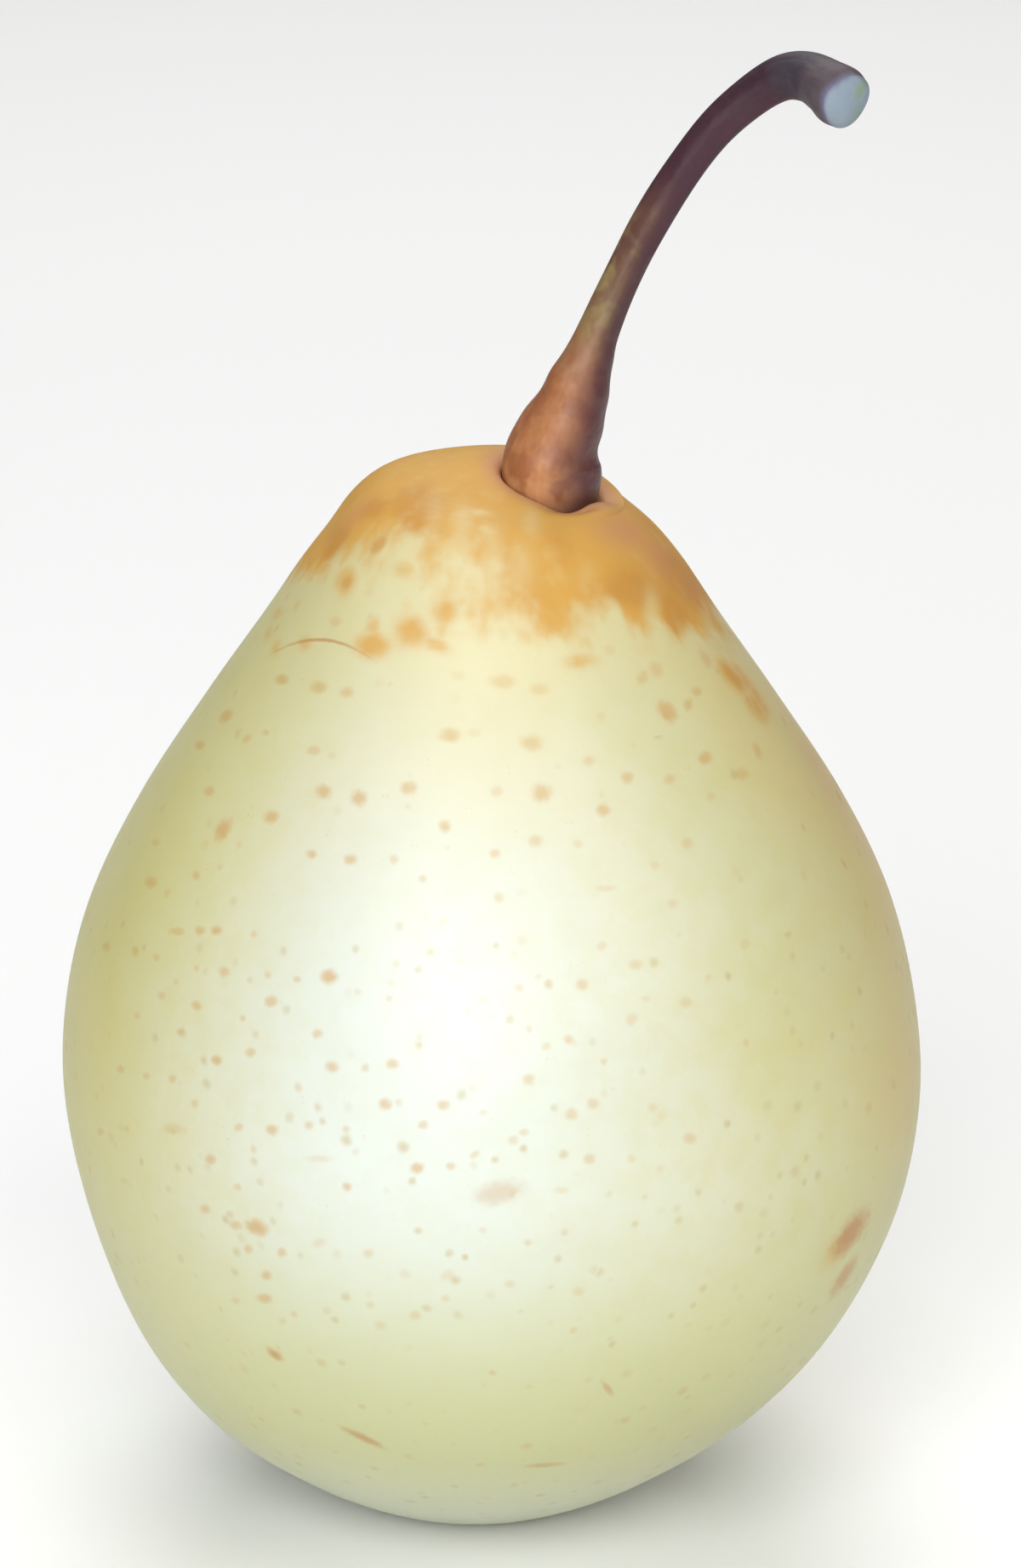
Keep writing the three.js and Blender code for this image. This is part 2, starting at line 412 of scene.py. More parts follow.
MARKS: dict[MarkKind, list[Mark]] = {
    MarkKind.PORE: [
        # The front of the shoulder, from left to right.
        Mark((266, 842), 1.5, 1.0, turn=50, strength=0.9),
        Mark((235, 876), 1.0, 0.8),
        Mark((290, 868), 1.0, 0.7, turn=30, strength=0.6),
        Mark((312, 861), 0.7, 0.6, strength=0.6),
        Mark((331, 799), 1.3, 0.9, strength=0.9),
        Mark((375, 808), 1.4, 1.1),
        Mark((407, 814), 1.2, 1.0, strength=0.7),
        Mark((394, 731), 1.0, 0.9, strength=0.6),
        Mark((434, 696), 0.9, 0.8, strength=0.4),
        Mark((364, 680), 0.7, 0.6, strength=0.7),
        Mark((538, 794), 1.2, 0.9, strength=0.4),
        Mark((592, 746), 1.1, 1.2, strength=0.5),
        Mark((591, 801), 2.3, 1.25, strength=0.9),
        Mark((634, 810), 1.6, 1.1),
        Mark((529, 864), 1.9, 1.2, strength=0.9),
        Mark((557, 861), 1.4, 0.8, strength=0.4),
        Mark((625, 873), 2.0, 1.3, strength=0.9),
        Mark((716, 764), 1.1, 1.0, strength=0.5),
        Mark((771, 787), 1.5, 1.1, turn=-55),
        Mark((756, 796), 1.3, 1.1, turn=60, strength=0.7),
        Mark((784, 836), 2.1, 1.4, turn=-58, strength=1.0),
        Mark((809, 828), 1.1, 0.8, turn=70),
        Mark((819, 813), 1.0, 0.8, strength=0.7),
        Mark((829, 774), 1.7, 0.8, turn=-62),
        Mark((890, 882), 1.5, 0.7, turn=-70, strength=0.7),
        Mark((829, 891), 1.2, 1.1, strength=0.9),
        Mark((872, 909), 1.3, 1.0, strength=0.6),
        Mark((836, 936), 0.9, 0.8, strength=0.4),
        Mark((692, 894), 1.1, 0.9, strength=0.5),
        Mark((737, 914), 1.1, 1.0, strength=0.7),
        Mark((787, 916), 1.1, 0.9, strength=0.6),
        Mark((706, 842), 0.9, 0.8, strength=0.3),
        Mark((368, 882), 1.2, 0.8, strength=0.6),
        Mark((390, 888), 0.8, 0.6, strength=0.3),
        Mark((246, 930), 1.0, 0.9),
        Mark((380, 931), 1.4, 1.2, strength=0.9),
        Mark((422, 938), 1.4, 1.3, strength=0.9),
        Mark((480, 926), 1.4, 1.2),
        Mark((584, 930), 1.1, 0.9, strength=0.5),
        Mark((637, 932), 1.7, 1.6, strength=0.9),
        Mark((709, 952), 1.2, 1.1),
        Mark((319, 960), 1.3, 1.1, turn=25, strength=0.9),
        Mark((262, 975), 2.1, 1.3, turn=60, strength=1.0),
        Mark((183, 990), 0.8, 0.7, strength=0.5),
        Mark((523, 971), 1.1, 1.0),
        Mark((630, 988), 1.2, 1.0, strength=0.6),
        Mark((679, 992), 0.8, 0.7, strength=0.4),
        Mark((582, 1003), 1.0, 0.8, strength=0.6),
        Mark((808, 991), 1.0, 0.9, strength=0.5),
        # The belly, from the left edge to the right.
        Mark((177, 1037), 1.1, 1.0),
        Mark((231, 1029), 0.8, 0.8, strength=0.7),
        Mark((366, 1004), 0.9, 0.8),
        Mark((412, 1010), 1.1, 0.9),
        Mark((463, 1010), 0.8, 0.8, strength=0.5),
        Mark((497, 1033), 0.8, 0.7, strength=0.5),
        Mark((586, 1055), 1.0, 0.9, strength=0.5),
        Mark((520, 1083), 0.8, 0.7, strength=0.25),
        Mark((712, 1044), 1.8, 0.6, strength=0.35),
        Mark((769, 1017), 0.8, 0.7, strength=0.35),
        Mark((790, 1062), 0.9, 0.8, strength=0.4),
        Mark((707, 1112), 0.9, 0.8, strength=0.4),
        Mark((876, 1110), 0.9, 0.8, strength=0.4),
        Mark((125, 1113), 0.8, 0.8, strength=0.7),
        Mark((159, 1118), 0.8, 0.8, strength=0.7),
        Mark((184, 1125), 0.7, 0.7, strength=0.5),
        Mark((208, 1095), 1.4, 0.7, strength=0.7),
        Mark((235, 1094), 1.0, 0.8),
        Mark((254, 1094), 1.0, 0.8, strength=0.9),
        Mark((298, 1098), 0.6, 0.6, strength=0.5),
        Mark((231, 1138), 0.6, 0.6, strength=0.5),
        Mark((263, 1142), 0.9, 0.9, strength=0.7),
        Mark((315, 1146), 0.7, 0.7, strength=0.5),
        Mark((349, 1151), 0.7, 0.6, strength=0.6),
        Mark((387, 1148), 1.4, 1.2, strength=1.0),
        Mark((420, 1166), 0.7, 0.6, strength=0.3),
        Mark((459, 1156), 0.7, 0.6, strength=0.2),
        Mark((568, 1176), 0.8, 0.7, strength=0.25),
        Mark((610, 1161), 0.9, 0.7, strength=0.4),
        Mark((645, 1157), 0.8, 0.8, strength=0.6),
        Mark((684, 1157), 1.0, 0.9, strength=0.6),
        Mark((747, 1134), 1.1, 0.9, strength=0.5),
        Mark((806, 1178), 1.1, 0.9, strength=0.5),
        Mark((743, 1198), 1.2, 1.0, turn=30, strength=0.45),
        Mark((190, 1170), 0.8, 0.7, strength=0.6),
        Mark((161, 1194), 0.7, 0.7, strength=0.5),
        Mark((231, 1182), 0.9, 0.8),
        Mark((318, 1177), 1.1, 0.9, turn=30),
        Mark((285, 1197), 0.6, 0.6, strength=0.6),
        Mark((212, 1213), 0.8, 0.7, strength=0.7),
        Mark((373, 1215), 0.9, 0.8, strength=0.7),
        Mark((669, 1222), 0.9, 0.8, strength=0.6),
        Mark((642, 1230), 0.8, 0.7, strength=0.4),
        Mark((294, 1237), 0.9, 0.8, strength=0.7),
        Mark((255, 1246), 1.0, 0.9, strength=0.9),
        Mark((390, 1254), 1.1, 1.0),
        Mark((461, 1251), 1.1, 0.9, strength=0.7),
        Mark((142, 1257), 0.8, 0.7, strength=0.7),
        Mark((172, 1265), 0.7, 0.7, strength=0.6),
        Mark((203, 1268), 0.8, 0.7, strength=0.6),
        Mark((621, 1269), 1.1, 1.0, strength=0.6),
        Mark((229, 1297), 0.7, 0.7, strength=0.6),
        Mark((453, 1298), 1.1, 1.0),
        Mark((521, 1299), 1.1, 0.9, strength=0.7),
        Mark((568, 1308), 0.8, 0.6, strength=0.3),
        Mark((497, 1322), 0.9, 0.8, strength=0.6),
        Mark((672, 1310), 1.1, 1.0, strength=0.6),
        Mark((697, 1297), 1.0, 0.9, strength=0.6),
        Mark((767, 1302), 0.9, 0.8, strength=0.4),
        Mark((811, 1338), 1.1, 1.0, strength=0.6),
        Mark((118, 1330), 0.7, 0.7, strength=0.6),
        Mark((149, 1327), 0.6, 0.6, strength=0.5),
        Mark((204, 1327), 2.0, 0.9, strength=0.5),
        Mark((281, 1325), 0.8, 0.7, strength=0.6),
        Mark((320, 1328), 1.1, 0.9),
        Mark((363, 1323), 0.8, 0.7, strength=0.6),
        Mark((407, 1327), 0.7, 0.6, strength=0.5),
        Mark((616, 1331), 0.9, 0.7, strength=0.5),
        # The lower part.
        Mark((248, 1363), 1.0, 0.9),
        Mark((374, 1362), 2.2, 0.6, strength=0.3),
        Mark((558, 1357), 0.9, 0.6, turn=30, strength=0.5),
        Mark((530, 1371), 0.8, 0.7, strength=0.6),
        Mark((490, 1373), 1.2, 0.9, turn=20, strength=0.9),
        Mark((408, 1395), 0.8, 0.8),
        Mark((279, 1395), 0.7, 0.7, strength=0.5),
        Mark((693, 1362), 1.0, 0.9, strength=0.6),
        Mark((742, 1362), 0.8, 0.7, strength=0.35),
        Mark((660, 1399), 1.4, 0.6, strength=0.35),
        Mark((146, 1388), 0.7, 0.6, strength=0.4),
        Mark((241, 1421), 0.9, 0.8, strength=0.7),
        Mark((270, 1427), 0.7, 0.6, strength=0.5),
        Mark((302, 1443), 2.0, 1.4, turn=-15, strength=1.0),
        Mark((277, 1440), 1.1, 0.8, strength=0.7),
        Mark((292, 1468), 0.8, 0.8, strength=0.7),
        Mark((331, 1472), 0.8, 0.8, strength=0.7),
        Mark((375, 1461), 0.8, 1.2, turn=-70, strength=0.35),
        Mark((433, 1473), 0.9, 0.8, strength=0.5),
        Mark((313, 1499), 0.9, 0.9),
        Mark((311, 1526), 1.4, 0.9),
        Mark((277, 1529), 0.8, 0.7, strength=0.5),
        Mark((332, 1553), 0.8, 0.7, strength=0.4),
        Mark((384, 1540), 0.8, 0.8, strength=0.4),
        Mark((447, 1558), 1.0, 0.8, strength=0.4),
        Mark((488, 1546), 1.0, 0.9, strength=0.5),
        Mark((526, 1499), 0.9, 1.4, turn=-60, strength=0.35),
        Mark((524, 1526), 0.8, 0.7, strength=0.4),
        Mark((680, 1518), 1.0, 0.8, strength=0.45),
        Mark((567, 1446), 0.7, 0.6, strength=0.3),
    ],
    MarkKind.SCAR: [
        Mark((378, 752), 8.2, 0.32, turn=-4, strength=0.8, bend=8.0),
        Mark((586, 1402), 4.2, 1.9, turn=14, strength=0.4),
        Mark((427, 1690), 4.0, 0.7, turn=-27),
        Mark((640, 1722), 3.6, 0.5, turn=3, strength=0.6),
        Mark((1000, 1450), 4.8, 2.0, turn=54, strength=1.0),
        Mark((992, 1500), 4.2, 1.2, turn=58),
        Mark((323, 1592), 1.6, 0.8, turn=-35, strength=0.9),
        Mark((714, 1632), 1.7, 0.6, turn=-55, strength=0.6),
    ],
    MarkKind.RUSSET: [
        Mark((446, 639), 2.5, 1.4, turn=52, strength=1.0),
        Mark((405, 684), 2.6, 1.8, turn=75, strength=1.0),
        Mark((381, 666), 2.6, 1.5, turn=70),
        Mark((438, 736), 1.7, 1.4, turn=80),
        Mark((438, 757), 3.1, 2.3, strength=1.0),
        Mark((482, 743), 3.4, 2.9, turn=-20, strength=0.85),
        Mark((512, 758), 3.2, 1.3, turn=-22, strength=0.7),
        Mark((478, 712), 1.2, 1.6, strength=0.45),
        Mark((476, 669), 2.6, 1.8, turn=-20, strength=0.7),
        Mark((502, 682), 2.8, 1.3, turn=-25, strength=0.5),
        Mark((523, 718), 2.9, 2.6, strength=0.75),
        Mark((554, 722), 2.0, 1.7, strength=0.6),
        Mark((557, 681), 3.6, 2.2, turn=5, strength=0.55),
        Mark((325, 762), 1.8, 1.0, turn=80, strength=0.6),
        Mark((316, 745), 1.8, 0.9, turn=70, strength=0.6),
        Mark((327, 721), 1.6, 1.0, turn=50, strength=0.6),
        Mark((358, 756), 1.5, 1.5, strength=0.6),
        Mark((682, 777), 3.2, 1.5, strength=0.65),
        Mark((682, 752), 2.2, 1.4, turn=80, strength=0.35),
        Mark((622, 729), 2.6, 1.3, strength=0.5),
        Mark((757, 761), 2.4, 1.7, strength=0.4),
        Mark((794, 728), 3.4, 2.4, turn=-75, strength=1.0),
        Mark((822, 735), 1.6, 1.1, turn=70, strength=0.6),
        Mark((866, 798), 4.2, 1.8, turn=-48, strength=1.0),
        Mark((889, 828), 3.6, 1.7, turn=-55, strength=1.0),
        Mark((984, 1466), 4.4, 2.0, turn=58, strength=0.6),
    ],
    MarkKind.DEEP: [
        Mark((486, 592), 3.6, 2.9, strength=0.9),
        Mark((483, 618), 1.6, 3.0, strength=0.6),
        Mark((446, 639), 2.1, 1.0, turn=52, strength=1.0),
        Mark((440, 598), 3.0, 1.6, turn=30, strength=0.7),
        Mark((405, 686), 1.6, 1.2, strength=0.5),
        Mark((395, 640), 3.0, 1.4, turn=55, strength=0.7),
        Mark((735, 695), 5.5, 3.2, strength=0.7),
        Mark((792, 724), 3.4, 1.7, turn=-70, strength=0.9),
        Mark((800, 680), 5.0, 2.6, turn=-50),
        Mark((660, 645), 4.4, 2.6, turn=-60, strength=0.4),
        Mark((875, 808), 5.6, 1.4, turn=-52, strength=0.9),
        Mark((784, 836), 1.6, 1.0, turn=-58, strength=0.6),
    ],
    MarkKind.THIN: [
        Mark((542, 626), 1.4, 4.6, strength=0.7),
        Mark((581, 650), 1.6, 4.2, strength=0.6),
        Mark((612, 668), 2.2, 4.0, strength=0.5),
        Mark((625, 610), 1.4, 3.4, strength=0.35),
        Mark((510, 598), 1.4, 3.2, strength=0.4),
        Mark((766, 712), 1.2, 2.8, turn=5),
        Mark((690, 675), 1.3, 2.0, strength=0.3),
        Mark((463, 655), 2.4, 1.6, strength=0.5),
    ],
    MarkKind.PINK: [
        Mark((735, 625), 5.2, 3.0, turn=-15, strength=1.0),
        Mark((772, 652), 5.0, 2.6, turn=-50),
        Mark((585, 535), 2.4, 1.6, turn=-10, strength=0.7),
        Mark((815, 690), 5.0, 2.2, turn=-58, strength=0.6),
        Mark((418, 605), 4.6, 1.6, turn=50, strength=0.5),
        Mark((965, 905), 9.0, 2.0, turn=-60, strength=0.4),
    ],
}


@dataclass(frozen=True)
class CapEdgePoint:
    """A point of the lower edge of the russet cap, placed by a pixel of the photograph.

    Attributes:
        pixel: Where the russet covers half the skin.
        softness: Over how many millimetres, up or down, the russet fades.
    """

    pixel: tuple[float, float]
    softness: float


CAP_EDGE = (
    CapEdgePoint((352, 670), 1.0),
    CapEdgePoint((372, 668), 0.8),
    CapEdgePoint((390, 655), 0.9),
    CapEdgePoint((412, 646), 1.0),
    CapEdgePoint((436, 622), 1.2),
    CapEdgePoint((462, 630), 1.6),
    CapEdgePoint((482, 634), 1.0),
    CapEdgePoint((500, 640), 2.2),
    CapEdgePoint((540, 655), 3.2),
    CapEdgePoint((580, 670), 3.4),
    CapEdgePoint((615, 700), 2.8),
    CapEdgePoint((645, 735), 1.4),
    CapEdgePoint((672, 732), 1.2),
    CapEdgePoint((695, 718), 1.0),
    CapEdgePoint((720, 714), 1.0),
    CapEdgePoint((742, 740), 1.0),
    CapEdgePoint((764, 718), 1.0),
    CapEdgePoint((780, 728), 0.7),
    CapEdgePoint((795, 745), 0.7),
    CapEdgePoint((808, 730), 0.7),
    CapEdgePoint((822, 738), 0.9),
    CapEdgePoint((840, 746), 1.4),
)


@dataclass(frozen=True)
class PlacedMark:
    """A mark with its place on the skin.

    Attributes:
        mark: The mark.
        middle: Its middle, in millimetres.
        axes: Its directions along, across and outwards, as columns.
    """

    mark: Mark
    middle: np.ndarray
    axes: np.ndarray

    def local(self, points: np.ndarray) -> np.ndarray:
        """Points in the mark's own frame, where its rim is at distance 1 from its middle.

        Args:
            points: Places in millimetres, as rows.

        Returns:
            How far each is along, across and out of the mark.
        """
        size = np.array((self.mark.length, self.mark.width, MARK_DEPTH)) / 2
        own = (points - self.middle) @ self.axes / size
        own[:, 1] += self.mark.bend * own[:, 0] ** 2
        return own


def layers_of(marks: Sequence[PlacedMark]) -> list[list[PlacedMark]]:
    """Sorts marks into layers, so that the middles of those in one layer stay a gap apart.

    Args:
        marks: The marks.

    Returns:
        The layers.
    """
    layers: list[list[PlacedMark]] = []
    for mark in marks:
        free = (layer for layer in layers
                if all(np.linalg.norm(mark.middle - other.middle) > MARK_GAP for other in layer))
        layer = next(free, None)
        if layer is None:
            layer = []
            layers.append(layer)
        layer.append(mark)
    return layers


@dataclass(frozen=True)
class PoreSize:
    """How scattered pores are set out. They show where the skin cuts scattered balls.

    Attributes:
        spacing: The mean distance between the balls' middles, in millimetres.
        smallest: The smallest ball's radius.
        largest: The largest ball's radius.
    """

    spacing: float
    smallest: float
    largest: float


@dataclass(frozen=True)
class SkinFinish:
    """The fruit's thin waxy skin: pale cream-green, with a russet cap, corky pores and a corky eye.

    Colours are linear, and lengths are in millimetres. The foot's blush and the eye's cork each fade out
    between two distances. A cover is how far a coat hides what is under it.
    """

    body: Colour = (0.59, 0.60, 0.40)
    # pale is partly a paler cheek and partly a painted highlight: the front lamp's bluish-white wash.
    pale: Colour = (0.60, 0.63, 0.56)
    cream: Colour = (0.58, 0.51, 0.27)
    olive: Colour = (0.51, 0.465, 0.175)
    tan: Colour = (0.58, 0.43, 0.18)
    # low is painted shade: the lower body, turned down from the front lamp, darker and greener.
    low: Colour = (0.47, 0.475, 0.24)
    # Painted reflection of the floor: the bottom is cooler and greyer.
    painted_floor_bounce: Colour = (0.55, 0.57, 0.43)
    russet: Colour = (0.54, 0.285, 0.048)
    russet_deep: Colour = (0.47, 0.22, 0.034)
    pink: Colour = (0.48, 0.22, 0.12)
    pore: Colour = (0.48, 0.285, 0.09)
    faint_pore: Colour = (0.43, 0.34, 0.155)
    scar: Colour = (0.41, 0.20, 0.055)
    cork: Colour = (0.24, 0.14, 0.06)
    foot_blush: tuple[float, float] = (4.2, 7.0)
    eye_cork: tuple[float, float] = (3.4, 5.6)
    cap_cover: float = 0.94
    pink_cover: float = 0.6
    pore_cover: float = 0.76
    faint_pore_cover: float = 0.65
    scar_cover: float = 0.9
    large_pores: PoreSize = PoreSize(spacing=3.7, smallest=0.5, largest=0.9)
    middling_pores: PoreSize = PoreSize(spacing=2.8, smallest=0.4, largest=0.7)
    small_pores: PoreSize = PoreSize(spacing=2.2, smallest=0.4, largest=0.66)
    streak_squeeze: float = 0.55
    grain_depth: float = 0.006
    wave_depth: float = 0.05
    cork_depth: float = 0.4
    roughness: float = 0.41
    cap_roughness: float = 0.2
    pore_roughness: float = 0.14
    cork_roughness: float = 0.3
    cloud_roughness: float = 0.05
    shine: float = 0.5
    cap_dulling: float = 0.32
    refraction: float = 1.62
    inner_glow: float = 0.12
    glow_reach: tuple[float, float, float] = (1.0, 0.7, 0.3)
    glow_depth: float = 2.0

    def material(self, fruit: "Fruit", layers: dict[MarkKind, int]) -> bpy.types.Material:
        """Joins the skin's nodes.

        Args:
            fruit: The fruit, for the places of its stem foot and its eye.
            layers: How many layers of marks each crisp kind has.

        Returns:
            The material.
        """
        board = NodeBoard("pear_skin")
        place = board.place()
        _, y, z = board.parts(place)
        seen = {kind: self.crisp_marks(board, place, kind, count) for kind, count in layers.items()}
        strong, faint = self.scattered_pores(board, place, y, z)
        pores = board.math("MAXIMUM", strong, seen[MarkKind.PORE])
        cap = self.cap(board, place)
        from_foot = board.vector("DISTANCE", place, tuple(fruit.stem_foot))
        in_eye = (fruit.base_shift, 0.0, fruit.eye_depth * 0.7)
        from_eye = board.vector("DISTANCE", place, in_eye)
        corky = board.step(board.math("ADD", from_eye, board.noise(place, 1.2)), *self.eye_cork, 1.0, 0.0)
        colour = board.coated(self.ground(board, place, y, z), (
            (board.times(faint, self.faint_pore_cover), self.faint_pore),
            (board.times(pores, self.pore_cover), self.pore),
            (board.step(board.stored("above_cap_edge"), -7.0, 0.0, 0.0, 0.6), self.cream),
            (board.times(cap, self.cap_cover), self.cap_colour(board, place)),
            (board.times(board.stored(MarkKind.PINK.value), self.pink_cover), self.pink),
            (board.step(from_foot, *self.foot_blush, 0.85, 0.0), self.pink),
            (board.times(seen[MarkKind.SCAR], self.scar_cover), self.scar),
            (corky, self.cork),
        ))
        rough = board.total(
            self.roughness,
            board.times(cap, self.cap_roughness),
            board.times(pores, self.pore_roughness),
            board.times(corky, self.cork_roughness),
            board.times(board.noise(place, 5.0), self.cloud_roughness),
        )
        return board.shade({
            "Base Color": colour,
            "Roughness": rough,
            "Normal": self.relief(board, place, corky),
            "Specular IOR Level": board.math("MULTIPLY_ADD", cap, -self.cap_dulling, self.shine),
            "IOR": self.refraction,
            "Subsurface Weight": self.inner_glow,
            "Subsurface Radius": self.glow_reach,
            "Subsurface Scale": self.glow_depth * MM,
        })

    def ground(self, board: NodeBoard, place: Feed, y: Feed, z: Feed) -> Socket:
        """The ground colour: paler in front with a painted highlight, olive and tan at the sides with painted
        shade, cream high up, painted shade low down, a painted floor bounce at the bottom.
        """
        cloud = board.noise(place, 22.0, detail=3.0)
        sideways = board.stored("sideways")
        # Painted shade, partly greener skin: olive on both sides, where they turn away from the camera and
        # the front lamp.
        side_tint_and_shade = board.total(board.step(sideways, -0.1, 1.05), board.step(sideways, -0.3, -1.05, 0.0, 1.1))
        side_tint_and_shade = board.times(side_tint_and_shade, board.step(z, 78.0, 46.0, 0.55, 1.0))
        # The tan on the right is partly the skin's yellower side and partly painted shade.
        right = board.times(board.step(sideways, 0.7, 1.05), board.step(cloud, 0.3, 0.65, 0.25, 0.85))
        mottle = board.step(board.noise(place, 2.6, detail=3.0, rough=0.6), 0.38, 0.68, 0.0, 0.3)
        return board.coated(self.body, (
            # Painted highlight, partly a paler cheek: the front, facing the camera and front lamp, is
            # whitened.
            (board.times(board.step(y, -4.0, -28.0), board.step(z, 16.0, 36.0)), self.pale),
            (board.step(z, 50.0, 84.0, 0.0, 0.6), self.cream),
            (board.times(side_tint_and_shade, board.total(cloud, 0.4)), self.olive),
            (board.times(right, board.step(z, 20.0, 36.0)), self.tan),
            # Painted highlight: the mottle is faint in front, where the front lamp's highlight washes it out,
            # and stronger on the sides.
            (board.times(mottle, board.total(side_tint_and_shade, 0.25)), self.olive),
            # Painted shade: darker and greener low on the body.
            (board.step(z, 42.0, 16.0, 0.0, 0.85), self.low),
            # Painted floor bounce: cooler and greyer at the very bottom.
            (board.step(z, 15.0, 4.0, 0.0, 0.9), self.painted_floor_bounce),
        ))

    def cap(self, board: NodeBoard, place: Feed) -> Socket:
        """How far russet covers the skin: the crown down to the cap's ragged edge, and patches below it."""
        upright = board.squeezed(place, self.streak_squeeze)
        streaks = board.math("SUBTRACT", board.noise(upright, 2.8, detail=2.5, rough=0.55), 0.5)
        above_edge = board.math("MULTIPLY_ADD", streaks, 5.5, board.stored("above_cap_edge"))
        ragged = board.math("MULTIPLY_ADD", streaks, 1.7, 1.0)
        patches = board.times(board.stored(MarkKind.RUSSET.value), ragged)
        patches = board.step(patches, 0.05, 1.05, 0.0, 0.88)
        covered = board.math("MAXIMUM", board.step(above_edge, -2.0, 1.4), patches)
        worn = board.times(board.stored(MarkKind.THIN.value), 0.6)
        return board.times(covered, board.math("SUBTRACT", 1.0, worn))

    def cap_colour(self, board: NodeBoard, place: Feed) -> Socket:
        """The russet's own colour, from golden tan to a deeper orange tan, with pale flecks."""
        upright = board.squeezed(place, self.streak_squeeze)
        cloud = board.noise(upright, 4.5, detail=3.0, rough=0.6)
        deep = board.total(cloud, board.stored(MarkKind.DEEP.value))
        return board.coated(self.russet, (
            (board.step(deep, 0.4, 1.1), self.russet_deep),
            (board.step(board.noise(upright, 1.9), 0.5, 0.8, 0.0, 0.16), self.cream),
        ))

    def scattered_pores(self, board: NodeBoard, place: Feed, y: Feed, z: Feed) -> tuple[Socket, Socket]:
        """Corky pores that no one can tell apart, with more large ones above and more small ones below.

        Args:
            board: The material's nodes.
            place: The point on the skin.
            y: The place's y, which is below 0 in front.
            z: The place's height.

        Returns:
            How strongly the larger pores show, and the small faint ones.
        """
        # The front has its larger pores given one by one among the marks.
        by_hand = board.times(board.step(y, -2.0, -14.0), board.step(z, 14.0, 24.0))
        keep_large = board.times(board.math("SUBTRACT", 1.0, by_hand), board.step(z, 16.0, 50.0, 0.2, 0.75))
        large = self.pore_layer(board, place, self.large_pores, keep_large)
        middling = self.pore_layer(board, place, self.middling_pores, board.step(z, 84.0, 45.0, 0.1, 0.6))
        small = self.pore_layer(board, place, self.small_pores, board.step(z, 78.0, 30.0, 0.15, 0.85))
        return board.math("MAXIMUM", board.times(large, 0.9), board.times(middling, 0.5)), small

    def pore_layer(self, board: NodeBoard, place: Feed, size: PoreSize, keep: Feed) -> Socket:
        """Round dots where the skin cuts scattered balls.

        Args:
            board: The material's nodes.
            place: The point on the skin.
            size: How the balls are set out.
            keep: The share of the balls that show.

        Returns:
            Up to 1 in the middle of a dot and 0 away from it, with soft edges.
        """
        wavy = board.vector("ADD", place, board.swirl(place, 0.9, 0.35))
        cells = board.add("TexVoronoi", {"Vector": wavy, "Scale": 1.0 / size.spacing})
        distance = board.times(cells.outputs["Distance"], size.spacing)
        girth, luck, depth = board.parts(cells.outputs["Color"])
        wider = board.times(girth, girth, size.largest - size.smallest)
        inside = board.step(board.math("DIVIDE", distance, board.total(wider, size.smallest)), 1.2, 0.15)
        shown = board.math("LESS_THAN", luck, keep)
        return board.times(inside, shown, board.step(depth, -0.2, 1.0, 0.35, 1.0))

    def crisp_marks(self, board: NodeBoard, place: Feed, kind: MarkKind, layers: int) -> Socket:
        """How strongly the marks of a crisp kind show, each an oval with a slightly wavy rim.

        Args:
            board: The material's nodes.
            place: The point on the skin.
            kind: What the marks are.
            layers: How many layers they are stored in.

        Returns:
            The strongest mark at the point, from 0 to 1.
        """
        wave = board.swirl(place, 0.7, 0.7)
        result = 0.0
        for layer in range(layers):
            name = f"{kind.value}_{layer}"
            from_middle = board.vector("LENGTH", board.vector("ADD", board.stored(name, "Vector"), wave))
            shows = board.times(board.step(from_middle, 1.4, 0.25), board.stored(name + "_strength"))
            result = board.math("MAXIMUM", result, shows)
        return result

    def relief(self, board: NodeBoard, place: Feed, corky: Feed) -> Socket:
        """The skin's fine relief: fine grain, a soft waviness, and a rough corky eye."""
        normal = board.bumped(board.noise(place, 0.35, detail=3.0, rough=0.6), self.grain_depth)
        normal = board.bumped(board.noise(place, 3.0), self.wave_depth, normal)
        return board.bumped(board.times(corky, board.noise(place, 0.6, detail=3.0)), self.cork_depth, normal)


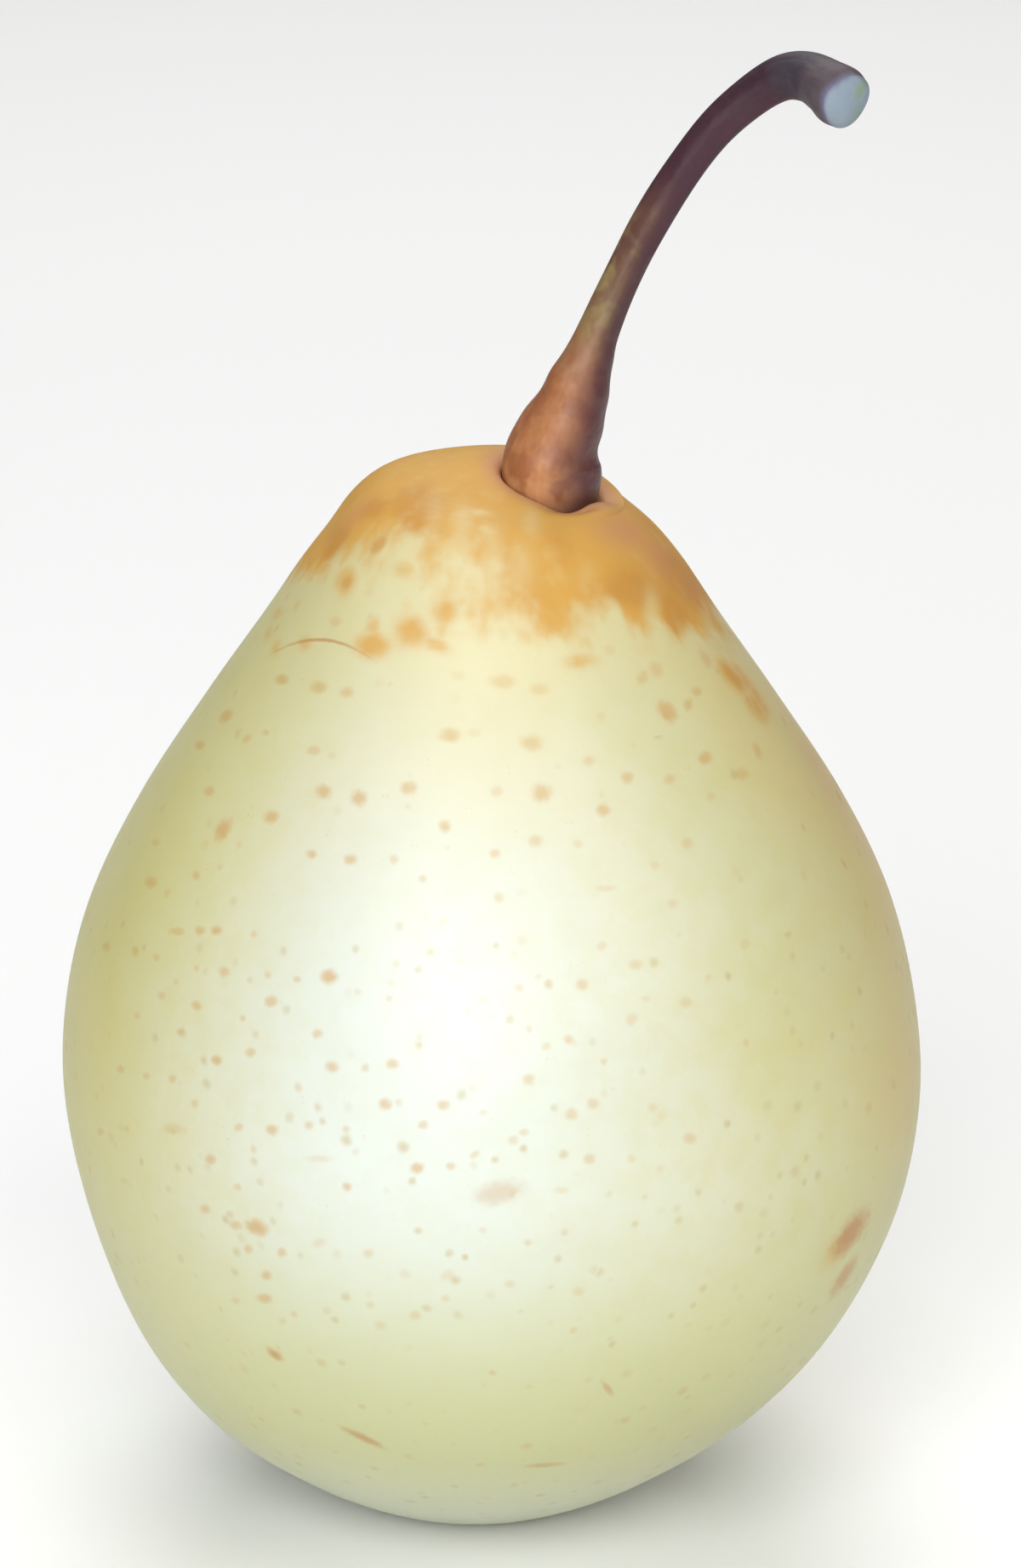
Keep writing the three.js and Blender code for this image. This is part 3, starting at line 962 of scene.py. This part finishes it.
@dataclass
class Fruit:
    """The fruit: a body of revolution, a little oval and five-lobed, with a leaning crown round the stem.

    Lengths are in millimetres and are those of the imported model, angles are in radians.
    """

    belly_radius: float = 35.4
    belly_height: float = 35.5
    crown_height: float = 88.1
    eye_depth: float = 5.6
    rest_ring_inner: float = 7.8
    rest_ring_outer: float = 10.2
    socket_radius: float = 3.2
    socket_floor: float = 81.3
    stem_foot: tuple[float, float, float] = (5.0, 0.0, 88.0)
    foot_lean: tuple[float, float] = (math.radians(9), math.radians(15))
    lean_inner: float = 4.8
    lean_outer: float = 12.5
    base_shift: float = -1.5
    base_shift_height: float = 30.0
    shoulder_rise: float = 1.5
    shoulder_ring: tuple[float, float, float] = (6.0, 10.0, 14.0)
    oval: float = 0.008
    oval_turn: float = 0.4
    five_lobes: float = 0.005
    lobes_turn: float = 1.6
    crease_depth: float = 0.7
    crease_at: float = math.radians(-72)
    eye_rim: float = 0.45
    eye_furrows: float = 0.25
    fold_rise: float = 0.75
    fold_at: float = math.radians(-45)
    fold_close: float = 0.1
    fold_close_at: float = math.radians(-60)
    dip_depth: float = 0.5
    dip_at: float = math.radians(15)
    sides: int = 360
    rings: int = 274

    def outline(self) -> np.ndarray:
        """Half the outline as rows of radius and height, from the eye over the belly to the socket."""
        return np.array([
            (1.6, self.eye_depth), (3.6, self.eye_depth - 0.9), (5.4, 2.4), (6.7, 0.6),
            (self.rest_ring_inner, 0.0), (self.rest_ring_outer, 0.0), (13.4, 1.4), (18.6, 4.6), (24.6, 9.5),
            (30.0, 16.9), (33.7, 26.0), (self.belly_radius, self.belly_height), (35.1, 44.0), (33.1, 52.5),
            (29.1, 61.0), (23.8, 69.3), (18.7, 76.6), (15.5, 81.4), (13.0, 84.65), (10.4, 86.9),
            (7.6, self.crown_height), (5.4, self.crown_height), (4.4, 87.8), (4.2, 87.0), (3.7, 85.9),
            (self.socket_radius, 84.8), (self.socket_radius, self.socket_floor),
        ])

    def at_foot(self, points: np.ndarray) -> np.ndarray:
        """Points measured about the stem foot's own leaning axis, turned into the fruit's frame."""
        forward, right = self.foot_lean
        turn = Matrix.Rotation(forward, 3, "X") @ Matrix.Rotation(right, 3, "Y")
        return points @ np.array(turn).T + np.array(self.stem_foot)

    def surface(self, radius: np.ndarray, height: np.ndarray, angle: np.ndarray) -> np.ndarray:
        """Points of the skin.

        The radius swells by an oval and a five-lobed cosine towards the belly, the lowest third is shifted
        sideways, and the crown goes over smoothly into rings about the stem foot's own axis.

        Args:
            radius: The outline's radius.
            height: The outline's height.
            angle: The angle round the axis, from +X towards +Y.

        Returns:
            The points, with one more dimension for x, y and z.
        """
        fullness = eased(radius, self.rest_ring_outer, self.belly_radius)
        lobes = self.oval * np.cos(2 * angle + self.oval_turn)
        lobes += self.five_lobes * np.cos(5 * angle + self.lobes_turn)
        swollen = radius * (1 + fullness * lobes)
        shift = self.base_shift * (1 - eased(height, 0.0, self.base_shift_height))
        on_top = height >= self.belly_height
        inner, middle, outer = self.shoulder_ring
        on_left = np.sin(angle / 2) ** 4
        shoulder = eased(radius, inner, middle) * (1 - eased(radius, middle, outer)) * on_left
        upright = np.stack([
            swollen * np.cos(angle) + shift,
            swollen * np.sin(angle),
            height + on_top * self.shoulder_rise * shoulder,
        ], axis=-1)
        rise = height - self.stem_foot[2]
        at_foot = np.stack([radius * np.cos(angle), radius * np.sin(angle), rise], axis=-1)
        leaning = (on_top * (1 - eased(radius, self.lean_inner, self.lean_outer)))[..., None]
        return upright * (1 - leaning) + self.at_foot(at_foot) * leaning

    def relief(self, radius: np.ndarray, height: np.ndarray, angle: np.ndarray) -> np.ndarray:
        """How far the skin stands out from its plain surface.

        Long low waves run round the body. At the stem's foot a crease sinks in at the front right. The eye
        has a low corky rim with five furrows.

        Args:
            radius: The outline's radius.
            height: The outline's height.
            angle: The angle round the axis.

        Returns:
            Millimetres outwards.
        """
        body = eased(height, 2.0, 12.0) * (1 - eased(height, 80.0, 87.0))
        waves = 0.10 * np.sin(3 * angle + height / 11.0) + 0.07 * np.sin(4 * angle - height / 7.0 + 1.0)
        waves += 0.05 * np.sin(7 * angle + height / 5.0 + 2.0)
        on_top = height >= self.belly_height
        crease = self.crease_depth * hump_round(angle, self.crease_at, 0.36) * hump(radius - 4.9, 1.1)
        under = ~on_top & (radius < self.rest_ring_inner)
        rim = hump(radius - 2.9, 0.8) * (self.eye_rim + self.eye_furrows * np.cos(5 * angle))
        return body * waves - on_top * crease + under * rim

    def lip(self, radius: np.ndarray, height: np.ndarray, angle: np.ndarray) -> np.ndarray:
        """How the skin's edge laps against the stem's foot.

        It rises and closes in at the front right, over a hump of the angle, and the rise fades away outwards
        from the socket. On the right the skin sinks a little, so that it falls away evenly.

        Args:
            radius: The outline's radius.
            height: The outline's height.
            angle: The angle round the stem foot's own axis.

        Returns:
            The shift of each point, in the frame of the stem foot.
        """
        near = (height >= self.belly_height) * np.where(radius < 7.0, eased(height, 85.2, 87.0), 1.0)
        rise = self.fold_rise * hump_round(angle, self.fold_at, 0.5) * (1 - eased(radius, 4.2, 12.0))
        rise -= self.dip_depth * hump_round(angle, self.dip_at, 0.8) * hump(radius - 8.0, 5.0)
        close = self.fold_close * hump_round(angle, self.fold_close_at, 1.4) * hump(radius - 4.3, 1.0)
        return near[..., None] * np.stack([-close * np.cos(angle), -close * np.sin(angle), rise], axis=-1)

    def points(self) -> np.ndarray:
        """The fine skin as (ring, side, xyz): the plain surface, its relief outwards, and the stem's lip."""
        outline = self.outline()
        stations = curve_through(outline, even_places(outline, self.rings))
        radius = np.repeat(stations[:, :1], self.sides, axis=1)
        height = np.repeat(np.maximum(stations[:, 1:], 0.0), self.sides, axis=1)
        angle = np.broadcast_to(np.linspace(0, 2 * np.pi, self.sides, endpoint=False), radius.shape)
        plain = self.surface(radius, height, angle)
        along = np.gradient(plain, axis=0)
        around = np.roll(plain, -1, axis=1) - np.roll(plain, 1, axis=1)
        outwards = unit(np.cross(around, along))
        lip = self.at_foot(self.lip(radius, height, angle)) - np.array(self.stem_foot)
        return plain + outwards * self.relief(radius, height, angle)[..., None] + lip

    def place(self, mark: Mark, camera: PhotoCamera, skin: BVHTree) -> PlacedMark:
        """Lays a mark on the skin, where the camera sees it.

        Args:
            mark: The mark, placed by a pixel.
            camera: The camera that took the photograph.
            skin: The skin, in metres.

        Returns:
            The mark with its place. Its directions along and across are those of the picture.
        """
        middle, normal = camera.seen(mark.pixel, skin)
        right, up, _ = camera.axes()
        turn = math.radians(mark.turn)
        along = right * math.cos(turn) + up * math.sin(turn)
        across = up * math.cos(turn) - right * math.sin(turn)
        return PlacedMark(mark, np.array(middle), np.array((along, across, normal)).T)

    def nearest_marks(self, points: np.ndarray, marks: Sequence[PlacedMark]) -> tuple[np.ndarray, np.ndarray]:
        """For each vertex, its place in the frame of the nearest mark, and the strength of that mark.

        The strength is 0 where a vertex beside it is nearest to another mark, so no face mixes two frames.

        Args:
            points: The skin's vertices in millimetres, the two end points last.
            marks: The marks, apart from each other.

        Returns:
            The places, one row for each vertex, and the strengths.
        """
        nearest = np.full(len(points), np.inf)
        local = np.zeros_like(points)
        which = np.zeros(len(points), dtype=int)
        for number, placed in enumerate(marks):
            own = placed.local(points)
            away = np.linalg.norm(own, axis=1)
            closer = away < nearest
            nearest[closer] = away[closer]
            local[closer] = own[closer]
            which[closer] = number
        strength = np.array([placed.mark.strength for placed in marks])[which]
        grid = which[:-2].reshape(self.rings, self.sides)
        mixed = np.zeros_like(grid, dtype=bool)
        for way, axis in ((-1, 0), (1, 0), (-1, 1), (1, 1)):
            mixed |= grid != np.roll(grid, way, axis=axis)
        strength[:-2][mixed.ravel()] = 0.0
        return local, strength

    def soft_field(self, points: np.ndarray, marks: Sequence[PlacedMark]) -> np.ndarray:
        """How strongly the soft marks of one kind show at each vertex.

        Each mark fades from its middle as exp(-0.9 d^2), where d is 1 at its rim. The strongest one counts.

        Args:
            points: The skin's vertices in millimetres.
            marks: The marks.

        Returns:
            One number for each vertex, from 0 to 1.
        """
        field = np.zeros(len(points))
        for placed in marks:
            away = np.linalg.norm(placed.local(points), axis=1)
            field = np.maximum(field, placed.mark.strength * np.exp(-0.9 * away**2))
        return field

    def above_cap_edge(self, points: np.ndarray, camera: PhotoCamera, skin: BVHTree) -> np.ndarray:
        """How far each vertex lies above the russet cap's edge, in units of the edge's softness there.

        The edge's height is read between its points by the angle round the fruit. Behind the fruit, where the
        photograph doesn't show it, it runs on from its last point to its first with slow waves.

        Args:
            points: The skin's vertices in millimetres.
            camera: The camera that took the photograph.
            skin: The skin, in metres.

        Returns:
            One number for each vertex.
        """
        seen = np.array([(*camera.seen(point.pixel, skin)[0], point.softness) for point in CAP_EDGE])
        angles = np.arctan2(seen[:, 1], seen[:, 0])
        order = np.argsort(angles)
        angle = np.arctan2(points[:, 1], points[:, 0])
        height = np.interp(angle, angles[order], seen[order, 2], period=2 * np.pi)
        softness = np.interp(angle, angles[order], seen[order, 3], period=2 * np.pi)
        behind = eased(points[:, 1], 0.0, 8.0)
        waves = 1.6 * np.cos(3 * angle + 0.5) + 1.1 * np.cos(7 * angle)
        return (points[:, 2] - height - behind * waves) / (softness + behind)

    def build(self, camera: PhotoCamera, finish: SkinFinish) -> bpy.types.Object:
        """Makes the skin and dresses it.

        Args:
            camera: The camera that took the photograph, for the marks.
            finish: The skin's finish.

        Returns:
            The skin's object.
        """
        rings = self.points()
        eye = np.array((self.base_shift, 0.0, self.eye_depth))
        floor = self.at_foot(np.array((0.0, 0.0, self.socket_floor - self.stem_foot[2])))
        mesh = closed_mesh("fruit_skin", rings, eye, floor)
        faces = [tuple(face.vertices) for face in mesh.polygons]
        skin = BVHTree.FromPolygons([vertex.co for vertex in mesh.vertices], faces)
        points = np.concatenate([rings.reshape(-1, 3), eye[None], floor[None]])
        layers: dict[MarkKind, int] = {}
        for kind, marks in MARKS.items():
            placed = [self.place(mark, camera, skin) for mark in marks]
            if kind not in CRISP:
                store(mesh, kind.value, self.soft_field(points, placed))
                continue
            sorted_marks = layers_of(placed)
            layers[kind] = len(sorted_marks)
            for number, layer in enumerate(sorted_marks):
                local, strength = self.nearest_marks(points, layer)
                store(mesh, f"{kind.value}_{number}", local)
                store(mesh, f"{kind.value}_{number}_strength", strength)
        store(mesh, "above_cap_edge", self.above_cap_edge(points, camera, skin))
        around = np.linspace(0, 2 * np.pi, self.sides, endpoint=False)
        store(mesh, "sideways", np.append(np.tile(np.cos(around), self.rings), (0.0, 0.0)))
        mesh.materials.append(finish.material(self, layers))
        piece = show("fruit_skin", mesh)
        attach(piece, "root")
        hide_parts("fruit")
        count = sum(len(marks) for marks in MARKS.values())
        LOG.info("fruit_skin: %d faces, %.1f mm high, %d marks", len(faces), points[:, 2].max(), count)
        return piece


@dataclass(frozen=True)
class StemFinish:
    """The stem's bark: red-tan at the foot, maroon on the shaft, nearly black at the bend, pale at the cut.

    Colours are linear. The stops give the bark's colour at shares of its length above the fruit.
    """

    stops: tuple[tuple[float, Colour], ...] = (
        (0.00, (0.50, 0.230, 0.095)),
        (0.08, (0.40, 0.165, 0.065)),
        (0.16, (0.34, 0.140, 0.055)),
        (0.24, (0.27, 0.130, 0.060)),
        (0.34, (0.17, 0.095, 0.045)),
        (0.46, (0.100, 0.040, 0.028)),
        (0.60, (0.046, 0.012, 0.022)),
        (0.80, (0.030, 0.008, 0.018)),
        (0.90, (0.040, 0.034, 0.050)),
        (0.95, (0.080, 0.060, 0.070)),
    )
    stop_drift: float = 0.06
    foot_red: Colour = (0.23, 0.070, 0.026)
    streak: Colour = (0.050, 0.022, 0.020)
    streak_squeeze: float = 0.12
    streak_depth: float = 0.16
    lump_depth: float = 0.28
    # shaded is painted shade on the bark's side away from the light, partly its own darker maroon.
    shaded: Colour = (0.050, 0.016, 0.028)
    olive: Colour = (0.22, 0.16, 0.060)
    callus: Colour = (0.21, 0.26, 0.31)
    callus_green: Colour = (0.19, 0.26, 0.16)
    callus_rim: Colour = (0.13, 0.12, 0.20)
    roughness: float = 0.38
    shaft_roughness: float = 0.2
    streak_roughness: float = 0.1
    refraction: float = 1.4

    def along_stem(self, board: NodeBoard, straight: Feed, share: Feed) -> Socket:
        """The bark's plain colour, between the stops, which drift a little with noise."""
        drifting = board.math("MULTIPLY_ADD", board.noise(straight, 2.5), self.stop_drift, share)
        ramp = board.add("ValToRGB", {0: drifting})
        ramp.color_ramp.interpolation = "EASE"
        stops = ramp.color_ramp.elements
        while len(stops) < len(self.stops):
            stops.new(0.5)
        for stop, (position, colour) in zip(stops, self.stops):
            stop.position = position + self.stop_drift / 2
            stop.color = (*colour, 1.0)
        return ramp.outputs["Color"]

    def material(self) -> bpy.types.Material:
        """Joins the bark's nodes, which read the straightened stem's coordinates."""
        board = NodeBoard("stem_bark")
        straight = board.stored("straight", "Vector")
        share = board.stored("share")
        streak = board.noise(board.squeezed(straight, self.streak_squeeze), 0.5, detail=4.0, rough=0.6)
        fibrous = board.step(share, 0.12, 0.4, 0.1, 0.35)
        blotch = board.step(board.noise(straight, 2.1), 0.42, 0.62)
        patch = board.step(board.noise(straight, 2.2), 0.45, 0.62)
        on_neck = board.times(board.step(share, 0.2, 0.32), board.step(share, 0.55, 0.4))
        cut = board.math("MULTIPLY_ADD", board.noise(straight, 1.6), 0.5, board.stored("cut"))
        callus = board.coated(self.callus, (
            (board.step(board.noise(board.place(), 2.6, detail=1.0), 0.5, 0.7), self.callus_green),
            (board.step(cut, 1.15, 0.75), self.callus_rim),
        ))
        colour = board.coated(self.along_stem(board, straight, share), (
            (board.times(board.step(streak, 0.3, 0.7), fibrous), self.streak),
            (board.times(blotch, board.step(share, 0.36, 0.2, 0.0, 0.6)), self.foot_red),
            (board.times(patch, on_neck, 0.7), self.olive),
            # Painted shade, partly the bark's own darker side: the side away from the front lamp, right and
            # below, darkened to maroon.
            (board.step(board.stored("lee"), -0.35, 0.7, 0.0, 0.85), self.shaded),
            (board.step(cut, 0.35, 0.95), callus),
        ))
        rough = board.total(
            self.roughness,
            board.step(share, 0.1, 0.6, 0.0, self.shaft_roughness),
            board.times(streak, self.streak_roughness),
        )
        normal = board.bumped(board.times(streak, fibrous), self.streak_depth)
        normal = board.bumped(board.noise(straight, 2.0), self.lump_depth, normal)
        return board.shade({
            "Base Color": colour,
            "Roughness": rough,
            "Normal": normal,
            "IOR": self.refraction,
        })


@dataclass(frozen=True)
class StemSkin:
    """The bark's points before they become a mesh, in millimetres.

    Attributes:
        rings: The points as (ring, side, xyz).
        ends: The middle of the root's end and of the cut end.
        straight: The points and the two ends on the straightened stem, whose z is the length above the fruit.
        outwards: The direction away from the centre line at each point of the rings.
        length: How long the stem is above the fruit.
    """

    rings: np.ndarray
    ends: np.ndarray
    straight: np.ndarray
    outwards: np.ndarray
    length: float


@dataclass
class Stem:
    """The stem: a root in the fruit's socket, a fleshy foot, a thin shaft, and a knob with a cut end.

    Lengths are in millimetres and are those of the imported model.
    """

    root_length: float = 6.4
    root_radius: float = 2.9
    shaft_radius: float = 1.52
    knob_radius: float = 2.42
    sides: int = 96
    rings: int = 420
    notch_share: float = 0.06
    waist_share: float = 0.09
    hollow_share: float = 0.07
    ridge_share: float = 0.03
    cap_rings: int = 14
    cap_dome: float = 0.9
    away_from_light: tuple[float, float, float] = (1.0, 0.0, -0.45)

    def places(self, fruit: Fruit) -> np.ndarray:
        """The stem's centre line and girth, as rows of x, y, z and radius, from its root to its cut end."""
        root = [(-self.root_length, self.root_radius), (-3.4, self.root_radius)]
        low = [(*fruit.at_foot(np.array((0.0, 0.0, rise))), radius) for rise, radius in root]
        route = [
            (4.65, 0.2, 86.6, 3.7), (4.85, 0.1, 88.4, 4.05), (4.9, 0.05, 90.0, 4.0), (5.35, 0.0, 91.8, 3.65),
            (6.0, 0.1, 93.6, 3.25), (6.85, 0.2, 95.9, 2.75), (7.85, 0.5, 98.4, 2.05), (8.7, 0.9, 100.7, 1.66),
            (10.3, 1.5, 104.3, self.shaft_radius), (12.6, 2.0, 108.8, self.shaft_radius),
            (15.2, 2.4, 113.0, self.shaft_radius), (18.0, 2.6, 116.65, 1.58), (20.9, 2.5, 119.3, 1.66),
            (23.3, 1.7, 120.9, 1.84), (25.2, 0.2, 121.3, 2.02), (26.4, -1.6, 120.95, 2.2),
            (27.25, -3.0, 120.5, self.knob_radius), (27.9, -4.0, 120.15, 2.2),
        ]
        return np.array(low + route)

    def girth(self, radius: np.ndarray, length: np.ndarray, angle: np.ndarray) -> np.ndarray:
        """The bark's distance from the centre line.

        The foot has soft swellings, a notch with a bulge above it on its right, a waist on its left and a
        hollow at its back left. The shaft has five low ridges that wind slowly, and the knob is uneven. All
        are shares of the radius.

        Args:
            radius: The plain radius.
            length: How far along the stem, above the fruit.
            angle: The angle round the stem, from its right side towards its back.

        Returns:
            The radius at each point.
        """
        on_foot = eased(length, -0.6, 3.0) * (1 - eased(length, 8.0, 13.0))
        on_shaft = eased(length, 9.0, 15.0)
        on_knob = eased(length, 40.0, 44.0)
        in_front = 0.5 - 0.5 * np.sin(angle)
        lumps = 0.03 * np.cos(2 * angle + length / 2.2) + 0.02 * np.cos(3 * angle - length / 1.6 + 1.2)
        lumps += 0.03 * np.cos(2 * np.pi * (length - 2.2) / 3.3) * in_front
        notch, bulge = hump(length - 3.0, 2.0), hump(length - 7.2, 2.0)
        on_right = self.notch_share * hump_round(angle, 0.0, 0.9) * (bulge - notch)
        waist = self.waist_share * hump_round(angle, np.pi, 0.8) * hump(length - 7.0, 2.2)
        hollow = self.hollow_share * hump_round(angle, 2.3, 1.1) * hump(length - 1.0, 1.8)
        ridges = self.ridge_share * np.cos(5 * angle + length / 9.0)
        ridges += 0.015 * np.sin(length / 1.7 + 2 * angle)
        knots = 0.05 * np.cos(3 * angle + 0.6) + 0.03 * np.cos(5 * angle + 2.0)
        foot = lumps + on_right - waist - hollow
        return radius * (1 + on_foot * foot + on_shaft * ridges + on_knob * knots)

    def smoothed(self, rows: np.ndarray, reach: int = 12) -> np.ndarray:
        """Each row averaged with its neighbours up to reach rows away, under a raised cosine.

        Args:
            rows: The rows.
            reach: How many rows to each side count.

        Returns:
            As many rows.
        """
        weights = np.hanning(2 * reach + 3)[1:-1]
        padded = np.pad(rows, ((reach, reach), (0, 0)), mode="edge")
        weights /= weights.sum()
        return np.stack([np.convolve(column, weights, "valid") for column in padded.T], axis=1)

    def untwisted(self, forward: np.ndarray) -> np.ndarray:
        """A direction across the centre line for each ring, from +X on, that never twists about the line.

        Each one is the last one less its part along the line's new direction.

        Args:
            forward: The line's directions, as rows of length 1.

        Returns:
            The directions, as rows of length 1.
        """
        across = [np.array((1.0, 0.0, 0.0))]
        for way in forward:
            across.append(unit(across[-1] - way * np.dot(across[-1], way)))
        return np.array(across[1:])

    def skin(self, fruit: Fruit) -> StemSkin:
        """Lays the bark's rings across the centre line, and closes the cut end with a low dome.

        The dome's rings shrink as a cosine and rise as a sine.

        Args:
            fruit: The fruit, for the place of the stem's foot.

        Returns:
            The bark's points.
        """
        rows = self.places(fruit)
        read = curve_through(rows, even_places(rows[:, :3], self.rings))
        centre, plain = read[:, :3], read[:, 3]
        steps = np.linalg.norm(np.diff(centre, axis=0), axis=1)
        length = np.concatenate([[0.0], np.cumsum(steps)]) - self.root_length
        forward = unit(self.smoothed(np.gradient(centre, axis=0)))
        right = self.untwisted(forward)
        back = np.cross(forward, right)
        angle = np.linspace(0, 2 * np.pi, self.sides, endpoint=False)
        reach = self.girth(plain[:, None], length[:, None], angle[None])
        turn = np.linspace(0, np.pi / 2, self.cap_rings + 1)[1:-1]
        reach = np.concatenate([reach, reach[-1] * np.cos(turn)[:, None]])
        rise = np.concatenate([np.zeros(self.rings), self.cap_dome * np.sin(turn)])
        last = np.minimum(np.arange(len(rise)), self.rings - 1)
        outwards = right[last, None] * np.cos(angle)[:, None] + back[last, None] * np.sin(angle)[:, None]
        rings = (centre[last] + forward[last] * rise[:, None])[:, None] + outwards * reach[..., None]
        ends = np.array((centre[0], centre[-1] + forward[-1] * self.cap_dome))
        run = (length[last] + rise)[:, None] + np.zeros(self.sides)
        straight = np.stack([reach * np.cos(angle), reach * np.sin(angle), run], axis=-1).reshape(-1, 3)
        straight_ends = np.array([(0.0, 0.0, length[0]), (0.0, 0.0, length[-1] + self.cap_dome)])
        return StemSkin(rings, ends, np.concatenate([straight, straight_ends]), outwards, length[-1])

    def build(self, fruit: Fruit, finish: StemFinish) -> bpy.types.Object:
        """Makes the stem and dresses it.

        The mesh keeps its places on the straightened stem, the share of the length, how near the cut is, and
        how far each point faces away from the light.

        Args:
            fruit: The fruit, for the place of the stem's foot.
            finish: The bark's finish.

        Returns:
            The stem's object.
        """
        skin = self.skin(fruit)
        mesh = closed_mesh("stem_bark", skin.rings, *skin.ends)
        above = skin.straight[:, 2]
        store(mesh, "straight", skin.straight)
        store(mesh, "share", np.clip(above / skin.length, 0.0, 1.0))
        store(mesh, "cut", eased(above, skin.length - 1.0, skin.length + 0.8))
        # How far each point faces away from the light, for the bark's painted shade.
        lee = (skin.outwards @ unit(np.array(self.away_from_light))).ravel()
        store(mesh, "lee", np.append(lee, (0.0, 0.0)))
        mesh.materials.append(finish.material())
        piece = show("stem_bark", mesh)
        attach(piece, "root")
        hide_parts("stem")
        LOG.info("stem_bark: %d faces, %.1f mm long outside the fruit", len(mesh.polygons), skin.length)
        return piece


class LampKind(Enum):
    """What kind of lamp lights the pear: a round panel, or a sun that lights every place alike."""

    PANEL = "AREA"
    SUN = "SUN"


@dataclass(frozen=True)
class Lamp:
    """A lamp aimed at the middle of the fruit.

    Attributes:
        name: Its name.
        kind: What kind of lamp it is.
        azimuth: Degrees from the viewer's side (-Y) towards +X.
        elevation: Degrees above the horizon.
        strength: Watts for a panel, watts per square metre for a sun.
        width: A panel's width in metres, or the degrees of sky that a sun fills.
        distance: Metres from its aim.
        colour: Its colour.
        aim: The point it shines at, in metres.
    """

    name: str
    kind: LampKind
    azimuth: float
    elevation: float
    strength: float
    width: float
    distance: float = 1.0
    colour: Colour = (1.0, 1.0, 1.0)
    aim: tuple[float, float, float] = (0.0, 0.0, 0.05)

    def build(self) -> bpy.types.Object:
        """Makes the lamp."""
        data = bpy.data.lights.new(self.name, self.kind.value)
        data.energy = self.strength
        data.color = self.colour
        if self.kind is LampKind.SUN:
            data.angle = math.radians(self.width)
        else:
            data.shape = "DISK"
            data.size = self.width
        around, above = math.radians(self.azimuth), math.radians(self.elevation)
        level = math.cos(above)
        towards = Vector((math.sin(around) * level, -math.cos(around) * level, math.sin(above)))
        turn = towards.to_track_quat("Z", "Y").to_matrix().to_4x4()
        lamp = bpy.data.objects.new(self.name, data)
        lamp.matrix_world = Matrix.Translation(Vector(self.aim) + towards * self.distance) @ turn
        bpy.context.scene.collection.objects.link(lamp)
        return lamp


LAMPS = (
    Lamp("front_light", LampKind.PANEL, azimuth=-14, elevation=27, strength=6.1, width=0.66, distance=0.8,
         colour=(0.94, 0.97, 1.0)),
    Lamp("right_light", LampKind.PANEL, azimuth=36, elevation=34, strength=2.6, width=0.7, distance=0.9,
         colour=(1.0, 0.97, 0.9)),
    Lamp("light_above", LampKind.SUN, azimuth=0, elevation=88, strength=0.8, width=50),
    Lamp("floor_light", LampKind.PANEL, azimuth=180, elevation=50, strength=6.0, width=0.9, distance=1.1),
)


@dataclass(frozen=True)
class Studio:
    """A plain pale floor and a surround of soft light, in metres."""

    floor_size: float = 30.0
    floor_colour: Colour = (0.90, 0.90, 0.89)
    floor_roughness: float = 0.6
    surround: Colour = (0.97, 0.98, 1.0)
    surround_strength: float = 0.10

    def floor(self) -> bpy.types.Object:
        """The floor, at the height that the pear stands on."""
        half = self.floor_size / 2
        corners = [(-half, -half, 0), (half, -half, 0), (half, half, 0), (-half, half, 0)]
        mesh = bpy.data.meshes.new("floor")
        mesh.from_pydata(corners, [], [(0, 1, 2, 3)])
        paint = {"Base Color": self.floor_colour, "Roughness": self.floor_roughness}
        mesh.materials.append(NodeBoard("pale_floor").shade(paint))
        floor = show("floor", mesh)
        return floor

    def build(self) -> None:
        """Makes the floor and the surround, and lights the lamps."""
        self.floor()
        world = bpy.data.worlds.new("surround")
        world.use_nodes = True
        background = world.node_tree.nodes["Background"]
        background.inputs["Color"].default_value = (*self.surround, 1.0)
        background.inputs["Strength"].default_value = self.surround_strength
        bpy.context.scene.world = world
        bpy.context.scene.view_settings.view_transform = "Standard"
        for lamp in LAMPS:
            lamp.build()


def main() -> None:
    """Builds the camera, the studio, the fruit and the stem."""
    logging.basicConfig(level=logging.INFO, format="%(name)s: %(message)s")
    camera = PhotoCamera()
    camera.build()
    Studio().build()
    fruit = Fruit()
    fruit.build(camera, SkinFinish())
    Stem().build(fruit, StemFinish())


if __name__ == "__main__":
    main()
